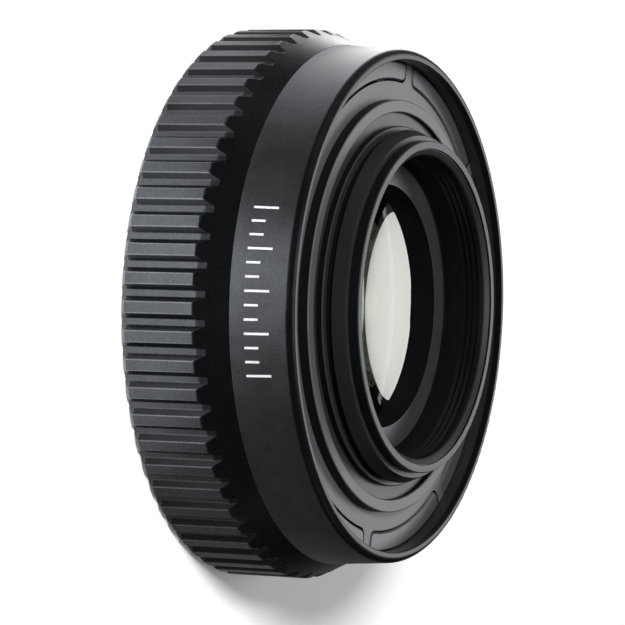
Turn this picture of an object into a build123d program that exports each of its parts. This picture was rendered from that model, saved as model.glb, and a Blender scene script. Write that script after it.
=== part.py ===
from build123d import *
import math
import os

os.makedirs("parts", exist_ok=True)

# Wide-angle conversion lens, in millimetres.
# It stands on its front rim at z = 0. The optical axis is +Z and the mount side is up.

# Clearances
fit_gap = 0.02
thread_gap = 0.03
glass_gap = 0.05
pocket_gap = 0.12

# Fluted grip
grip_radius = 17.5
grip_length = 4.9
grip_cone_length = 2.05
grip_cone_width = 1.0
front_bevel = 0.3
flute_count = 62
flute_depth = 0.36
flute_floor_width = 0.36
flute_flank_angle = 46.0
flute_phase = 1.7

# Barrel behind the grip
barrel_taper = 0.26
barrel_length = 3.6
rim_round_height = 0.48
rim_round_width = 0.39
rim_wall = 0.69
neck_step = 1.5
neck_wall = 1.6
neck_length = 1.1
web_thickness = 1.0

# Recessed mount face
recess_width = 2.51
recess_depth = 1.19
mount_plate_thickness = 1.2
magnet_count = 8
magnet_width_angle = 40.8
magnet_phase = 14.0
magnet_width = 1.2
magnet_proud = 0.05
magnet_edge_chamfer = 0.1
magnet_corner_radius = 0.5
yoke_width = 1.65
yoke_thickness = 0.4

# Mount tube
locating_wall = 0.78
locating_height = 0.7
locating_foot_inset = 0.35
step_width = 0.885
step_depth = 0.31
edge_break = 0.06
tube_ledge_height = 0.45
tube_groove_depth = 0.475
tube_groove_width = 0.5
tube_collar_flange = 0.25
tube_collar_length = 0.8
tube_collar_drop = 0.36
tube_neck_drop = 0.43
tube_neck_length = 0.69

# Lens cell screwed into the tube
tube_mouth_wall = 0.52
cell_wall = 0.45
cell_inset = 0.1
cell_bevel_width = 0.38
cell_bevel_height = 0.3
ridge_count = 3
ridge_pitch = 0.38
ridge_depth = 0.13
ridge_start_depth = 0.55
cell_seat_step = 0.3
cell_lip_width = 0.5
cell_lip_height = 0.4

# Rear optics
retainer_face_depth = 3.04
retainer_ring_width = 1.48
retainer_flare = 0.27
retainer_thickness = 1.53
rear_element_thickness = 4.2
rear_dome_depth = 3.26

# Front optics
front_screw_wall = 1.9
front_seat_ledge = 1.2
front_face_height = 1.0
front_element_thickness = 1.0
front_rim_width = 3.24
front_shoulder_thickness = 0.45
front_shoulder_width = 1.8
front_retainer_width = 1.8
front_retainer_flare = 0.9
front_retainer_inset = 0.15
spanner_slot_width = 1.0
spanner_slot_depth = 0.4
spanner_slot_count = 2

# Radii, from the grip inwards
barrel_front_radius = grip_radius - grip_cone_width
barrel_rear_radius = barrel_front_radius - barrel_taper
rim_inner_radius = barrel_rear_radius - rim_wall
neck_radius = barrel_front_radius - neck_step
neck_bore_radius = neck_radius - neck_wall
magnet_inner_radius = rim_inner_radius - magnet_width
yoke_inner_radius = rim_inner_radius - yoke_width
locating_radius = rim_inner_radius - recess_width
locating_foot_radius = locating_radius - locating_foot_inset
step_radius = locating_radius - locating_wall
tube_ledge_radius = step_radius - step_width
tube_groove_radius = tube_ledge_radius - tube_groove_depth
tube_thread_radius = tube_groove_radius
tube_collar_radius = tube_groove_radius + tube_collar_flange
tube_mouth_radius = tube_groove_radius - tube_neck_drop
cell_radius = tube_mouth_radius - tube_mouth_wall
bore_radius = cell_radius - cell_wall
rear_element_radius = bore_radius - cell_seat_step
cell_bore_radius = rear_element_radius + glass_gap
cell_lip_radius = rear_element_radius - cell_lip_width
retainer_radius = rear_element_radius - retainer_ring_width
retainer_seat_radius = retainer_radius - retainer_flare
front_retainer_radius = grip_radius - front_screw_wall
front_retainer_inner_radius = front_retainer_radius - front_retainer_width
front_element_radius = front_retainer_radius - front_seat_ledge
front_shoulder_radius = front_element_radius - front_shoulder_width
front_hollow_radius = front_shoulder_radius - front_rim_width


def sphere_radius(width, depth):
    """Radius of the sphere whose cap has this half width and this depth."""
    return (width**2 + depth**2) / (2 * depth)


def sag(radius, height):
    """Depth of a sphere of this radius at this distance from the axis."""
    return radius - math.sqrt(radius**2 - height**2)


# Heights along the axis
shoulder_height = grip_length + grip_cone_length
rim_start_height = shoulder_height + barrel_length
rim_height = rim_start_height + rim_round_height
recess_height = rim_height - recess_depth
plate_bottom = recess_height - mount_plate_thickness
web_bottom = plate_bottom - web_thickness
locating_top = recess_height + locating_height
step_height = locating_top - step_depth
ledge_top = step_height + tube_ledge_height
groove_top = ledge_top + tube_groove_width
collar_top = groove_top + tube_collar_length
mouth_height = collar_top + tube_neck_length
retainer_face = mouth_height - retainer_face_depth
retainer_bottom = retainer_face - retainer_thickness
neck_bottom = shoulder_height - neck_length

rear_vertex = retainer_bottom - rear_element_thickness
rear_curve_radius = sphere_radius(rear_element_radius, rear_dome_depth)
rear_edge_height = rear_vertex + rear_dome_depth
cell_seat = rear_vertex + sag(rear_curve_radius, cell_lip_radius)
cell_bottom = cell_seat - cell_lip_height
cell_top = mouth_height - cell_inset
ridge_top = cell_top - ridge_start_depth
ridge_bottom = ridge_top - ridge_count * ridge_pitch

front_seat = neck_bottom - front_shoulder_thickness
front_inner_vertex = front_face_height + front_element_thickness
front_curve_radius = sphere_radius(front_hollow_radius, front_seat - front_inner_vertex)

# Grip ring: knurled outside, front cell inside
flute_flank_tangent = math.tan(math.radians(flute_flank_angle))
flute_overshoot = 0.2
flute_cut_radius = grip_radius + flute_overshoot
flute_floor_radius = grip_radius - flute_depth
flute_half_floor = flute_floor_width / 2
flute_half_mouth = flute_half_floor + (flute_depth + flute_overshoot) * flute_flank_tangent

with BuildPart() as grip_ring:
    with BuildSketch(Plane.XZ):
        with BuildLine():
            Polyline(
                (front_retainer_radius + thread_gap, 0),
                (grip_radius - front_bevel, 0),
                (grip_radius, front_bevel),
                (grip_radius, grip_length),
                (barrel_front_radius, shoulder_height),
                (neck_radius + thread_gap, shoulder_height),
                (neck_radius + thread_gap, neck_bottom),
                (front_shoulder_radius, neck_bottom),
                (front_shoulder_radius, front_seat),
                (front_element_radius + glass_gap, front_seat),
                (front_element_radius + glass_gap, front_face_height),
                (front_retainer_radius + thread_gap, front_face_height),
                close=True,
            )
        make_face()
    revolve(axis=Axis.Z)
    with BuildSketch(Plane.XY):
        with PolarLocations(0, flute_count, start_angle=flute_phase):
            Polygon(
                (flute_floor_radius, -flute_half_floor),
                (flute_cut_radius, -flute_half_mouth),
                (flute_cut_radius, flute_half_mouth),
                (flute_floor_radius, flute_half_floor),
                align=None,
            )
    extrude(amount=shoulder_height, mode=Mode.SUBTRACT)
grip_ring.part.label = "grip_ring"
export_step(grip_ring.part, "parts/grip_ring.step")

# Barrel: printed band, rim round the recess, web that carries the mount, threaded neck
with BuildPart() as barrel:
    with BuildSketch(Plane.XZ):
        with BuildLine():
            Polyline(
                (neck_bore_radius, neck_bottom),
                (neck_radius, neck_bottom),
                (neck_radius, shoulder_height),
                (barrel_front_radius, shoulder_height),
                (barrel_rear_radius, rim_start_height),
            )
            TangentArc(
                (barrel_rear_radius, rim_start_height),
                (barrel_rear_radius - rim_round_width, rim_height),
                tangent=(0, 1),
            )
            Polyline(
                (barrel_rear_radius - rim_round_width, rim_height),
                (rim_inner_radius + edge_break, rim_height),
                (rim_inner_radius, rim_height - edge_break),
                (rim_inner_radius, plate_bottom),
                (tube_thread_radius + thread_gap, plate_bottom),
                (tube_thread_radius + thread_gap, web_bottom),
                (neck_bore_radius, web_bottom),
                (neck_bore_radius, neck_bottom),
            )
        make_face()
    revolve(axis=Axis.Z)
barrel.part.label = "barrel"
export_step(barrel.part, "parts/barrel.step")

# Yoke: steel ring under the magnets
yoke_outer_radius = rim_inner_radius - fit_gap
magnet_bottom = plate_bottom + yoke_thickness
with BuildPart() as yoke_ring:
    with BuildSketch(Plane.XY.offset(plate_bottom)):
        Circle(yoke_outer_radius)
        Circle(yoke_inner_radius, mode=Mode.SUBTRACT)
    extrude(amount=yoke_thickness)
yoke_ring.part.label = "yoke_ring"
export_step(yoke_ring.part, "parts/yoke_ring.step")


magnet_outer_radius = rim_inner_radius - fit_gap
magnet_pitch = 360 / magnet_count
pocket_inner_radius = magnet_inner_radius - pocket_gap
pocket_side_angle = math.degrees(pocket_gap / magnet_inner_radius)


def ring_sector(inner, outer, width_angle, middle_angle, corner, bottom, top):
    """Block between two radii and two heights, with rounded inner corners."""
    start_angle = middle_angle - width_angle / 2
    with BuildPart() as block:
        with BuildSketch(Plane.XY.offset(bottom)) as face:
            with BuildLine():
                inner_arc = CenterArc((0, 0), inner, start_angle, width_angle)
                outer_arc = CenterArc((0, 0), outer, start_angle, width_angle)
                Line(inner_arc @ 0, outer_arc @ 0)
                Line(inner_arc @ 1, outer_arc @ 1)
            make_face()
            corners = face.vertices().sort_by(lambda v: math.hypot(v.X, v.Y))[:2]
            fillet(corners, radius=corner)
        extrude(amount=top - bottom)
    return block.part


magnet_angles = [magnet_phase + magnet_pitch * index for index in range(magnet_count)]
pocket_overshoot = 1.0
pockets = [
    ring_sector(
        pocket_inner_radius,
        rim_inner_radius + pocket_overshoot,
        magnet_width_angle + 2 * pocket_side_angle,
        angle,
        magnet_corner_radius + pocket_gap,
        magnet_bottom,
        recess_height,
    )
    for angle in magnet_angles
]

# Mount plate: face of the recess, with a pocket round each magnet
with BuildPart() as mount_plate:
    with BuildSketch(Plane.XZ):
        with BuildLine():
            Polyline(
                (locating_foot_radius + fit_gap, plate_bottom),
                (yoke_inner_radius - fit_gap, plate_bottom),
                (yoke_inner_radius - fit_gap, magnet_bottom),
                (rim_inner_radius - fit_gap, magnet_bottom),
                (rim_inner_radius - fit_gap, recess_height),
                (locating_foot_radius + fit_gap, recess_height),
                close=True,
            )
        make_face()
    revolve(axis=Axis.Z)
    add(pockets, mode=Mode.SUBTRACT)
mount_plate.part.label = "mount_plate"
export_step(mount_plate.part, "parts/mount_plate.step")

# Magnets: arc segments that stand a little proud of the plate
for index, angle in enumerate(magnet_angles):
    with BuildPart() as magnet:
        add(
            ring_sector(
                magnet_inner_radius,
                magnet_outer_radius,
                magnet_width_angle,
                angle,
                magnet_corner_radius,
                magnet_bottom,
                recess_height + magnet_proud,
            )
        )
        chamfer(magnet.faces().sort_by(Axis.Z)[-1].edges(), length=magnet_edge_chamfer)
    magnet.part.label = f"magnet_{index + 1}"
    export_step(magnet.part, f"parts/magnet_{index + 1}.step")

# Locating ring: its foot drops into the plate round the tube, its rim centres the lens
with BuildPart() as locating_ring:
    with BuildSketch(Plane.XZ):
        with BuildLine():
            Polyline(
                (step_radius, plate_bottom),
                (locating_foot_radius, plate_bottom),
                (locating_foot_radius, recess_height),
                (locating_radius, recess_height),
                (locating_radius, locating_top - edge_break),
                (locating_radius - edge_break, locating_top),
                (step_radius + edge_break, locating_top),
                (step_radius, locating_top - edge_break),
                close=True,
            )
        make_face()
    revolve(axis=Axis.Z)
locating_ring.part.label = "locating_ring"
export_step(locating_ring.part, "parts/locating_ring.step")

# Mount tube: foot on the web, thread through it, stepped and grooved outside
tube_foot_radius = step_radius - fit_gap
tube_bore_radius = cell_radius + thread_gap
with BuildPart() as mount_tube:
    with BuildSketch(Plane.XZ):
        with BuildLine():
            Polyline(
                (tube_bore_radius, web_bottom),
                (tube_thread_radius, web_bottom),
                (tube_thread_radius, plate_bottom),
                (tube_foot_radius, plate_bottom),
                (tube_foot_radius, step_height),
                (tube_ledge_radius, step_height),
                (tube_ledge_radius, ledge_top - edge_break),
                (tube_ledge_radius - edge_break, ledge_top),
                (tube_groove_radius, ledge_top),
                (tube_groove_radius, groove_top),
                (tube_collar_radius, groove_top),
                (tube_collar_radius - tube_collar_drop, collar_top),
                (tube_mouth_radius, collar_top),
                (tube_mouth_radius, mouth_height - edge_break),
                (tube_mouth_radius - edge_break, mouth_height),
                (tube_bore_radius, mouth_height),
                close=True,
            )
        make_face()
    revolve(axis=Axis.Z)
mount_tube.part.label = "mount_tube"
export_step(mount_tube.part, "parts/mount_tube.step")

# Lens cell: bevelled and ridged mouth, plain bore, lip under the rear element
ridge_points = []
for index in range(ridge_count):
    crest_height = ridge_top - index * ridge_pitch
    ridge_points.append((bore_radius, crest_height))
    ridge_points.append((bore_radius + ridge_depth, crest_height - ridge_pitch / 2))
with BuildPart() as rear_cell:
    with BuildSketch(Plane.XZ):
        with BuildLine():
            Polyline(
                (cell_lip_radius, cell_bottom),
                (cell_radius, cell_bottom),
                (cell_radius, cell_top),
                (cell_radius - cell_bevel_width, cell_top - cell_bevel_height),
                *ridge_points,
                (bore_radius, ridge_bottom),
                (bore_radius, retainer_face),
                (cell_bore_radius, retainer_face),
                (cell_bore_radius, cell_seat),
                (cell_lip_radius, cell_seat),
                close=True,
            )
        make_face()
    revolve(axis=Axis.Z)
rear_cell.part.label = "rear_cell"
export_step(rear_cell.part, "parts/rear_cell.step")

# Rear retainer: coned ring screwed into the cell on top of the glass
with BuildPart() as rear_retainer:
    with BuildSketch(Plane.XZ):
        with BuildLine():
            Polyline(
                (retainer_seat_radius, retainer_bottom),
                (cell_bore_radius - thread_gap, retainer_bottom),
                (cell_bore_radius - thread_gap, retainer_face),
                (retainer_radius, retainer_face),
                close=True,
            )
        make_face()
    revolve(axis=Axis.Z)
rear_retainer.part.label = "rear_retainer"
export_step(rear_retainer.part, "parts/rear_retainer.step")

# Rear element: flat towards the camera, domed inwards, its dome seated on the cell's lip
rear_half_radius = rear_element_radius / 2
with BuildPart() as rear_element:
    with BuildSketch(Plane.XZ):
        with BuildLine():
            Polyline(
                (0, rear_vertex),
                (0, retainer_bottom),
                (rear_element_radius, retainer_bottom),
                (rear_element_radius, rear_edge_height),
            )
            ThreePointArc(
                (rear_element_radius, rear_edge_height),
                (rear_half_radius, rear_vertex + sag(rear_curve_radius, rear_half_radius)),
                (0, rear_vertex),
            )
        make_face()
    revolve(axis=Axis.Z)
rear_element.part.label = "rear_element"
export_step(rear_element.part, "parts/rear_element.step")

# Front element: flat outside, hollow inside, its ground rim seated on the grip's shoulder
front_half_radius = front_hollow_radius / 2
with BuildPart() as front_element:
    with BuildSketch(Plane.XZ):
        with BuildLine():
            Polyline(
                (0, front_inner_vertex),
                (0, front_face_height),
                (front_element_radius, front_face_height),
                (front_element_radius, front_seat),
                (front_hollow_radius, front_seat),
            )
            ThreePointArc(
                (front_hollow_radius, front_seat),
                (
                    front_half_radius,
                    front_inner_vertex + sag(front_curve_radius, front_half_radius),
                ),
                (0, front_inner_vertex),
            )
        make_face()
    revolve(axis=Axis.Z)
front_element.part.label = "front_element"
export_step(front_element.part, "parts/front_element.step")

# Front retainer: flared screw ring with two spanner slots
front_retainer_mouth = front_retainer_inner_radius + front_retainer_flare
with BuildPart() as front_retainer:
    with BuildSketch(Plane.XZ):
        with BuildLine():
            Polyline(
                (front_retainer_inner_radius, front_face_height),
                (front_retainer_radius, front_face_height),
                (front_retainer_radius, front_retainer_inset),
                (front_retainer_mouth, front_retainer_inset),
                close=True,
            )
        make_face()
    revolve(axis=Axis.Z)
    with BuildSketch(Plane.XY.offset(front_retainer_inset)):
        with PolarLocations(front_retainer_radius, spanner_slot_count):
            Rectangle(2 * front_retainer_width, spanner_slot_width)
    extrude(amount=spanner_slot_depth, mode=Mode.SUBTRACT)
front_retainer.part.label = "front_retainer"
export_step(front_retainer.part, "parts/front_retainer.step")
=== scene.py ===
import math
import bpy
from mathutils import Matrix, Vector


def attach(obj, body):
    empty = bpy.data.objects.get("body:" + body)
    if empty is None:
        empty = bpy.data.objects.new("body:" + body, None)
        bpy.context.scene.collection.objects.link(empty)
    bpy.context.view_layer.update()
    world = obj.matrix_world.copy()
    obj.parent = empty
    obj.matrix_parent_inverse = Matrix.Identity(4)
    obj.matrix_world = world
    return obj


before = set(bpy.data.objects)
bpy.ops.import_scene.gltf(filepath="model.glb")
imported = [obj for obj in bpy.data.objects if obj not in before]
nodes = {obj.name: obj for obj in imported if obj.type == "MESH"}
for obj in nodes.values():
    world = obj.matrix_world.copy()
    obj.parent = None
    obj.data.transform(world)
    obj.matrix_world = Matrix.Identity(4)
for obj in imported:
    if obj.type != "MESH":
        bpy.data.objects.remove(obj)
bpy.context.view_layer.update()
mm = 0.001
print("frame loaded:", len(nodes), "pieces")


# A socket that takes part in arithmetic, so that a mask is written as a formula
class Flow:
    def __init__(self, tree, socket):
        self.tree = tree
        self.socket = socket

    def node(self, kind, settings=None, inputs=None, out=0):
        return addNode(self.tree, kind, settings, inputs, out)

    def math(self, operation, other=None, swapped=False):
        values = {0: self} if other is None else {0: self, 1: other}
        if swapped:
            values = {0: other, 1: self}
        return self.node("ShaderNodeMath", {"operation": operation}, values)

    def __add__(self, other): return self.math("ADD", other)
    def __radd__(self, other): return self.math("ADD", other)
    def __sub__(self, other): return self.math("SUBTRACT", other)
    def __rsub__(self, other): return self.math("SUBTRACT", other, True)
    def __mul__(self, other): return self.math("MULTIPLY", other)
    def __rmul__(self, other): return self.math("MULTIPLY", other)
    def __gt__(self, other): return self.math("GREATER_THAN", other)
    def atLeast(self, other): return self.math("MAXIMUM", other)

    def smooth(self, low, high, start=0.0, end=1.0):
        return self.node("ShaderNodeMapRange", {"interpolation_type": "SMOOTHSTEP"},
                         {0: self, 1: low, 2: high, 3: start, 4: end})

    def blend(self, first, second):
        return self.node("ShaderNodeMix", {"data_type": "RGBA"}, {0: self, 6: first, 7: second}, 2)


def addNode(tree, kind, settings=None, inputs=None, out=0):
    made = tree.nodes.new(kind)
    for key, value in (settings or {}).items():
        if key == "stops":
            ramp = made.color_ramp
            while len(ramp.elements) < len(value):
                ramp.elements.new(1.0)
            for element, (place, shade) in zip(ramp.elements, value):
                element.position = place
                element.color = (*shade[:3], 1.0)
        else:
            setattr(made, key, value)
    for key, value in (inputs or {}).items():
        if isinstance(value, Flow):
            tree.links.new(value.socket, made.inputs[key])
        elif isinstance(value, tuple) and len(value) == 3 and made.inputs[key].type == "RGBA":
            made.inputs[key].default_value = (*value, 1.0)
        else:
            made.inputs[key].default_value = value
    return Flow(tree, made.outputs[out])


def newMaterial(name):
    material = bpy.data.materials.new(name)
    material.use_nodes = True
    tree = material.node_tree
    tree.nodes.clear()
    place = addNode(tree, "ShaderNodeTexCoord", out=3)
    return material, tree, place


def axesOf(place):
    parts = place.node("ShaderNodeSeparateXYZ", None, {0: place})
    return [Flow(place.tree, parts.socket.node.outputs[k]) for k in range(3)]


def closeMaterial(tree, shader):
    end = tree.nodes.new("ShaderNodeOutputMaterial")
    tree.links.new(shader.socket, end.inputs[0])


def noise(place, scale, detail):
    return place.node("ShaderNodeTexNoise", None,
                      {"Vector": place, "Scale": scale, "Detail": detail})


def bump(height, strength, distance, normal=None):
    links = {"Height": height, "Strength": strength, "Distance": distance}
    if normal is not None:
        links["Normal"] = normal
    return height.node("ShaderNodeBump", None, links)


# Camera: the photograph's long lens, to the side of the mount end, turned a quarter turn
cameraPlan = {
    "place": (0.548 * mm, -230.216 * mm, 115.384 * mm),
    "right": (-0.027984, 0.433583, 0.900679),
    "down": (0.999608, 0.012138, 0.025214),
    "ahead": (0.0, 0.901032, -0.433753),
    "lens": 230.4,
    "sensor": 36.0,
    "clip": (0.01, 10.0),
}
cameraData = bpy.data.cameras.new("camera")
camera = bpy.data.objects.new("camera", cameraData)
bpy.context.scene.collection.objects.link(camera)
right = Vector(cameraPlan["right"])
up = -Vector(cameraPlan["down"])
back = -Vector(cameraPlan["ahead"])
turn = Matrix((right, up, back)).transposed()
camera.matrix_world = Matrix.Translation(cameraPlan["place"]) @ turn.to_4x4()
cameraData.lens = cameraPlan["lens"]
cameraData.sensor_width = cameraPlan["sensor"]
cameraData.clip_start, cameraData.clip_end = cameraPlan["clip"]
bpy.context.scene.camera = camera
print("camera set")


# What all the black metals share: noise scales per metre, depth of grain, and where a mask fades
metalGrain = {
    "mottle": 700.0,
    "speck": 8000.0,
    "lines": 22000.0,
    "coarseDetail": 3.0,
    "fineDetail": 2.0,
    "depth": 0.01 * mm,
    "toneShares": (0.4, 0.6),
    "toneSpan": (0.35, 0.65),
    "roughShares": (0.06, 0.08),
    "roughMean": 0.07,
    "bevelSamples": 6,
    "edgeMask": (0.997, 0.95),
    "edgePolish": 0.04,
    "flankFade": 0.03 * mm,
    "flankStart": 0.35 * mm,
    "wallMask": (0.25, 0.6),
}


# Black anodised metal: a fine blasted grain, turning lines where asked, each edge a little worn
# and lighter, partly wear and partly a painted highlight. Above a named height the shade changes,
# as painted shading. Between two named radii, on the sides of the flutes, it is darker, and so are
# upright faces: painted shade
def blackMetal(name, shade, roughness, grain, turning=0.0, edge=0.05, metallic=0.9, fleck=0.06,
               wear=1.4, above=None, paintedFlankShade=None, paintedWallShade=None):
    plan = metalGrain
    material, tree, place = newMaterial(name)
    x, y, z = axesOf(place)
    radius = (x * x + y * y).math("SQRT")
    mottle = noise(place, plan["mottle"], plan["coarseDetail"])
    speck = noise(place, plan["speck"], plan["fineDetail"])
    mottleShare, speckShare = plan["toneShares"]
    tone = (mottle * mottleShare + speck * speckShare).smooth(*plan["toneSpan"])

    def toned(factor):
        dark = tuple(c * factor * (1 - fleck) for c in shade)
        pale = tuple(c * factor * (1 + fleck) for c in shade)
        return tone.blend(dark, pale)

    colour = toned(1.0)
    rounded = place.node("ShaderNodeBevel", {"samples": plan["bevelSamples"]},
                         {"Radius": edge * mm})
    flat = place.node("ShaderNodeNewGeometry", out=3)
    turned = place.node("ShaderNodeVectorMath", {"operation": "DOT_PRODUCT"},
                        {0: rounded, 1: flat}, 1)
    wearAndHighlightEdges = turned.smooth(*plan["edgeMask"])
    # Painted shade: between two radii, on the sides of the flutes, the colour is darker
    if paintedFlankShade:
        floorRadius, landRadius, factor = paintedFlankShade
        fade = plan["flankFade"]
        flankShadeMask = radius.smooth(floorRadius, floorRadius + fade)
        flankShadeMask = flankShadeMask * radius.smooth(landRadius, landRadius - fade) * (z > plan["flankStart"])
        colour = flankShadeMask.blend(colour, toned(factor))
        wearAndHighlightEdges = wearAndHighlightEdges * radius.smooth(landRadius - fade, landRadius)
    # Each rounded edge is lighter by the wear factor: partly wear, partly a painted highlight
    colour = wearAndHighlightEdges.blend(colour, toned(wear))
    # Painted shade: faces that don't face along the axis are darker
    if paintedWallShade:
        upward = axesOf(flat)[2].smooth(*plan["wallMask"])
        colour = upward.blend(toned(paintedWallShade), colour)
    # Painted shading by height: darker on the grip's cone and the barrel's rim top; on the cell,
    # the bore below the bevel is painted dark
    if above:
        low, high, factor = above
        colour = z.smooth(low, high).blend(colour, toned(factor))
    mottleShare, speckShare = plan["roughShares"]
    rough = mottle * mottleShare + speck * speckShare + (roughness - plan["roughMean"])
    rough = rough - wearAndHighlightEdges * plan["edgePolish"]
    normal = bump(speck, grain, plan["depth"], rounded)
    if turning:
        lines = radius.node("ShaderNodeTexNoise", {"noise_dimensions": "1D"},
                            {"W": radius, "Scale": plan["lines"], "Detail": plan["fineDetail"]})
        normal = bump(lines, turning, plan["depth"], normal)
    shader = place.node("ShaderNodeBsdfPrincipled", None, {
        "Base Color": colour, "Roughness": rough, "Normal": normal, "Metallic": metallic})
    closeMaterial(tree, shader)
    return material


# Coated glass: clear, with a faint warm tint and a hint of smear. The coating dims the mirroring
glassPlan = {
    "smear": 260.0,
    "smearDetail": 3.0,
    "smearSpan": (0.45, 0.8),
    "smearRoughness": 0.015,
    "coating": (0.16, 0.21, 0.13),
}


def clearGlass(name, tint, ior):
    plan = glassPlan
    material, tree, place = newMaterial(name)
    smear = noise(place, plan["smear"], plan["smearDetail"])
    rough = smear.smooth(*plan["smearSpan"], 0.0, plan["smearRoughness"])
    shader = place.node("ShaderNodeBsdfPrincipled", None, {
        "Base Color": tint, "Roughness": rough, "IOR": ior, "Transmission Weight": 1.0,
        "Specular Tint": plan["coating"]})
    closeMaterial(tree, shader)
    return material


# The tube, cell and inside finishes are darker copies of the black metal, painted shade for parts
# down in the recess and bore; the retainer is a lighter copy, painted light on its face
finishPlan = {
    "grip": {"shade": (0.110, 0.117, 0.128), "roughness": 0.28, "grain": 0.30, "wear": 2.8,
             "edge": 0.09, "fleck": 0.12, "above": (4.9 * mm, 5.1 * mm, 0.28),
             # painted shade on the sides of the flutes
             "paintedFlankShade": (17.17 * mm, 17.47 * mm, 0.3)},
    "barrel": {"shade": (0.103, 0.109, 0.118), "roughness": 0.34, "grain": 0.45, "fleck": 0.16,
               "above": (10.55 * mm, 10.65 * mm, 0.3)},
    "plate": {"shade": (0.112, 0.117, 0.124), "roughness": 0.46, "grain": 0.15, "turning": 0.12,
              "metallic": 0.4, "paintedWallShade": 0.06},
    "magnet": {"shade": (0.108, 0.114, 0.122), "roughness": 0.42, "grain": 0.12, "metallic": 0.6},
    "tube": {"shade": (0.060, 0.064, 0.069), "roughness": 0.42, "grain": 0.15, "metallic": 0.7,
             "paintedWallShade": 0.2},
    "cell": {"shade": (0.035, 0.036, 0.037), "roughness": 0.42, "grain": 0.15,
             "above": (12.3 * mm, 12.38 * mm, 3.4)},
    "retainer": {"shade": (0.198, 0.208, 0.221), "roughness": 0.46, "grain": 0.15, "turning": 0.12,
                 "paintedWallShade": 0.13},
    "inside": {"shade": (0.030, 0.031, 0.032), "roughness": 0.45, "grain": 0.15},
}
finishes = {name: blackMetal(name + "Black", **plan) for name, plan in finishPlan.items()}
finishes["rearGlass"] = clearGlass("rearGlass", (0.985, 1.0, 0.945), 1.70)
finishes["frontGlass"] = clearGlass("frontGlass", (1.0, 1.0, 0.98), 1.72)
coats = {
    "grip_ring": "grip", "barrel": "barrel", "yoke_ring": "magnet", "mount_plate": "plate",
    "locating_ring": "plate", "mount_tube": "tube", "rear_cell": "cell",
    "rear_retainer": "retainer", "rear_element": "rearGlass", "front_element": "frontGlass",
    "front_retainer": "inside",
}
for name, node in nodes.items():
    coat = finishes[coats.get(name, "magnet")]
    node.data.materials.clear()
    node.data.materials.append(coat)
print("finishes applied")


# Index scale: white ticks that stand a hair proud of the barrel, where the camera sees them
indexScale = {
    "count": 13,
    "longEvery": 3,
    "middle": 267.6,
    "step": 3.0,
    "facets": 720,
    "longSpan": (7.9 * mm, 9.5 * mm),
    "shortSpan": (7.9 * mm, 8.8 * mm),
    "frontRadius": 16.5 * mm,
    "rearRadius": 16.24 * mm,
    "frontHeight": 6.95 * mm,
    "rearHeight": 10.55 * mm,
    "sink": 0.01 * mm,
    "thickness": 0.03 * mm,
}


def barrelRadius(height):
    plan = indexScale
    share = (height - plan["frontHeight"]) / (plan["rearHeight"] - plan["frontHeight"])
    return plan["frontRadius"] + share * (plan["rearRadius"] - plan["frontRadius"]) - plan["sink"]


def tickRow(name, span, angles):
    low, high = span
    bpy.ops.object.select_all(action="DESELECT")
    bpy.ops.mesh.primitive_cone_add(
        vertices=indexScale["facets"], radius1=barrelRadius(low), radius2=barrelRadius(high),
        depth=high - low, end_fill_type="NOTHING", location=(0, 0, (low + high) / 2))
    row = bpy.context.active_object
    row.name = name
    bpy.ops.object.transform_apply(location=True, rotation=False, scale=False)
    half = 180 / indexScale["facets"]
    for face in row.data.polygons:
        bearing = math.degrees(math.atan2(face.center.y, face.center.x)) % 360
        face.select = all(abs(bearing - angle) > half for angle in angles)
    bpy.context.tool_settings.mesh_select_mode = (False, False, True)
    bpy.ops.object.mode_set(mode="EDIT")
    bpy.ops.mesh.delete(type="FACE")
    bpy.ops.object.mode_set(mode="OBJECT")
    return row


tickAngles = {"long": [], "short": []}
facetAngle = 360 / indexScale["facets"]
for index in range(indexScale["count"]):
    angle = indexScale["middle"] + (index - (indexScale["count"] - 1) / 2) * indexScale["step"]
    angle = (math.floor(angle / facetAngle) + 0.5) * facetAngle
    kind = "short" if index % indexScale["longEvery"] else "long"
    tickAngles[kind].append(angle)
scale = tickRow("index_scale", indexScale["longSpan"], tickAngles["long"])
shortRow = tickRow("short_ticks", indexScale["shortSpan"], tickAngles["short"])
bpy.ops.object.select_all(action="DESELECT")
shortRow.select_set(True)
scale.select_set(True)
bpy.context.view_layer.objects.active = scale
bpy.ops.object.join()
shell = scale.modifiers.new("thickness", "SOLIDIFY")
shell.thickness = indexScale["thickness"]
shell.offset = 1.0
bpy.ops.object.modifier_apply(modifier=shell.name)

# White ink, a little worn
inkPlan = {
    "wear": 2600.0,
    "wearDetail": 3.0,
    "wearSpan": (0.3, 0.7),
    "worn": (0.60, 0.61, 0.61),
    "fresh": (0.70, 0.71, 0.71),
    "roughness": 0.45,
    "roughSpread": 0.2,
    "grain": 0.1,
    "depth": 0.005 * mm,
}
ink, inkTree, inkPlace = newMaterial("whiteInk")
worn = noise(inkPlace, inkPlan["wear"], inkPlan["wearDetail"])
inkColour = worn.smooth(*inkPlan["wearSpan"]).blend(inkPlan["worn"], inkPlan["fresh"])
inkShader = inkPlace.node("ShaderNodeBsdfPrincipled", None, {
    "Base Color": inkColour, "Roughness": worn * inkPlan["roughSpread"] + inkPlan["roughness"],
    "Normal": bump(worn, inkPlan["grain"], inkPlan["depth"])})
closeMaterial(inkTree, inkShader)
scale.data.materials.append(ink)
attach(scale, "root")
print("index scale made:", len(scale.data.polygons), "faces")


# Lamps: a key above the near side, which casts the shadow and isn't mirrored, and dim soft boxes
# all round. Each has its place, the point that it faces, its size and its power
def softBox(name, place, aim, size, power):
    data = bpy.data.lights.new(name, "AREA")
    data.shape = "ELLIPSE"
    data.size, data.size_y = size
    data.energy = power
    lamp = bpy.data.objects.new(name, data)
    bpy.context.scene.collection.objects.link(lamp)
    lamp.location = place
    lamp.rotation_euler = (Vector(aim) - Vector(place)).to_track_quat("-Z", "Y").to_euler()
    return lamp


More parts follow.
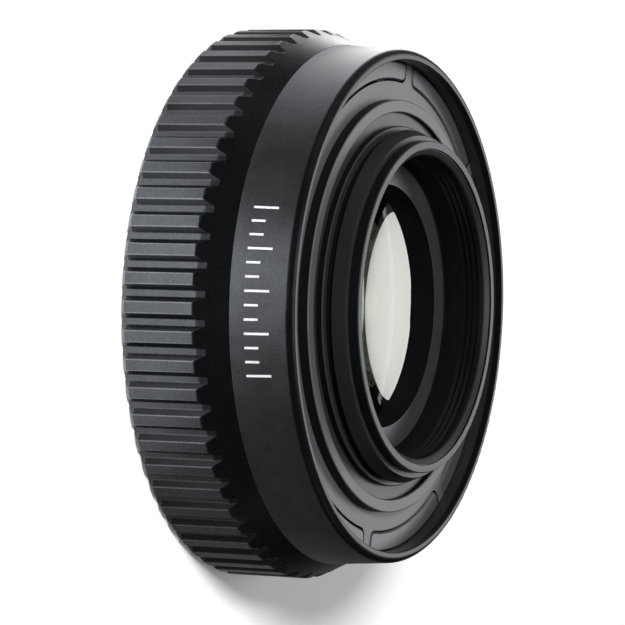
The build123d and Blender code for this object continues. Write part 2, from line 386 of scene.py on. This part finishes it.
lampPlan = {
    "keyBox": ((-0.16, -0.31, 0.30), (0, 0, 0.006), (0.12, 0.12), 2.8),
    "topBox": ((-0.30, 0.02, 0.20), (0, 0, 0.006), (0.30, 0.34), 0.07),
    "farBox": ((-0.02, 0.34, 0.20), (0, 0, 0.01), (0.34, 0.16), 0.44),
    "cornerBox": ((-0.24, 0.24, 0.12), (0, 0, 0.01), (0.20, 0.16), 0.02),
    "overBox": ((0.0, 0.05, 0.45), (0, 0, 0.01), (0.20, 0.20), 0.25),
    "sideBox": ((0.30, 0.05, 0.15), (0, 0, 0.01), (0.20, 0.20), 0.023),
    "nearStrip": ((0.0, -0.40, 0.04), (0, 0, 0.01), (0.40, 0.06), 0.06),
}
lamps = {}
for lampName, (place, aim, size, power) in lampPlan.items():
    lamps[lampName] = softBox(lampName, place, aim, size, power)
lamps["keyBox"].visible_glossy = False
lamps["keyBox"].visible_transmission = False


# What rays of each kind see: the background is white, the room itself stays dim
def pathMask(tree):
    rays = tree.nodes.new("ShaderNodeLightPath")
    seen = Flow(tree, rays.outputs["Is Camera Ray"])
    mirrored = Flow(tree, rays.outputs["Is Glossy Ray"])
    through = Flow(tree, rays.outputs["Is Transmission Ray"])
    return seen, mirrored, through


worldPlan = {"room": 0.01, "white": 1.0}
world = bpy.data.worlds.new("surround")
bpy.context.scene.world = world
world.use_nodes = True
worldTree = world.node_tree
worldTree.nodes.clear()
seen, mirrored, through = pathMask(worldTree)
dim = addNode(worldTree, "ShaderNodeBackground", None, {"Strength": worldPlan["room"]})
white = addNode(worldTree, "ShaderNodeBackground", None, {"Strength": worldPlan["white"]})
for background in (dim, white):
    background.socket.node.inputs["Color"].default_value = (1.0, 1.0, 1.0, 1.0)
surround = addNode(worldTree, "ShaderNodeMixShader", None,
                   {0: seen.atLeast(through), 1: dim, 2: white})
worldEnd = worldTree.nodes.new("ShaderNodeOutputWorld")
worldTree.links.new(surround.socket, worldEnd.inputs[0])

# Floor: pale paper that keeps the shadow and shows white to the camera and through glass; in
# reflections, a painted sheen
floorPlan = {
    "size": 1.6,
    "paper": 0.92,
    "fibre": 60.0,
    "fibreDetail": 2.0,
    "fibreSpan": (0.2, 0.8),
    "fibreTone": 0.01,
    "glow": 0.13,
    "nearSpan": 28 * mm,
    "nearEdge": (1.15, 0.85),
    "farSpan": (44 * mm, 62 * mm),
    "farFade": 0.12,
    "sheen": 3.0,
    "nearSheen": ((0.0, 0.06), (0.27, 0.05), (0.305, 0.3), (0.36, 0.12), (0.455, 0.0),
                  (0.541, 0.29), (0.625, 0.23), (0.708, 0.46), (0.79, 0.35), (0.875, 0.07),
                  (0.93, 0.06)),
    "farSheen": ((0.0, 0.03), (0.25, 0.03), (0.3, 0.92), (0.36, 1.4), (0.42, 1.15), (0.458, 0.78),
                 (0.541, 0.22), (0.59, 0.0), (0.66, 0.05), (0.715, 0.68), (0.75, 0.47), (0.8, 0.1),
                 (0.85, 0.03)),
}


# Painted sheen: how bright the paper glows in reflections, by the bearing from the lens; it is no
# lamp
def sheenByBearing(bearing, stops):
    shades = tuple((place, (level, level, level)) for place, level in stops)
    return bearing.node("ShaderNodeValToRGB", {"stops": shades}, {0: bearing}) * floorPlan["sheen"]


# Bearing from the lens as a share of a full turn, counted from +X
def bearingOf(x, y):
    west = x * -1.0
    south = y * -1.0
    angle = south.node("ShaderNodeMath", {"operation": "ARCTAN2"}, {0: south, 1: west})
    return angle * (0.5 / math.pi) + 0.5


bpy.ops.object.select_all(action="DESELECT")
bpy.ops.mesh.primitive_plane_add(size=floorPlan["size"], location=(0, 0, 0))
floor = bpy.context.active_object
floor.name = "floor"
floorMaterial, floorTree, floorPlace = newMaterial("paleFloor")
fibre = noise(floorPlace, floorPlan["fibre"], floorPlan["fibreDetail"])
darkPaper = (floorPlan["paper"] - floorPlan["fibreTone"],) * 3
palePaper = (floorPlan["paper"] + floorPlan["fibreTone"],) * 3
paper = fibre.smooth(*floorPlan["fibreSpan"]).blend(darkPaper, palePaper)
matte = floorPlace.node("ShaderNodeBsdfDiffuse", None, {"Color": paper})
seen, mirrored, through = pathMask(floorTree)
x, y, z = axesOf(floorPlace)
bearing = bearingOf(x, y)
distance = (x * x + y * y).math("SQRT")
nearOuter, nearInner = (floorPlan["nearSpan"] * share for share in floorPlan["nearEdge"])
near = distance.smooth(nearOuter, nearInner)
fade = distance.smooth(*floorPlan["farSpan"], 1.0, floorPlan["farFade"])
nearPart = sheenByBearing(bearing, floorPlan["nearSheen"]) * near
farPart = sheenByBearing(bearing, floorPlan["farSheen"]) * (1.0 - near) * fade
glow = floorPlace.node("ShaderNodeEmission", None, {
    "Color": seen * floorPlan["glow"] + through, "Strength": 1.0})
paintedSheen = floorPlace.node("ShaderNodeEmission", None, {"Color": nearPart + farPart, "Strength": 1.0})
plain = floorPlace.node("ShaderNodeAddShader", None, {0: matte, 1: glow})
onlyMirrored = mirrored * (1.0 - through)
floorShader = floorPlace.node("ShaderNodeMixShader", None, {0: onlyMirrored, 1: plain, 2: paintedSheen})
closeMaterial(floorTree, floorShader)
floor.data.materials.append(floorMaterial)
print("stage set")

view = bpy.context.scene.view_settings
view.view_transform = "Standard"
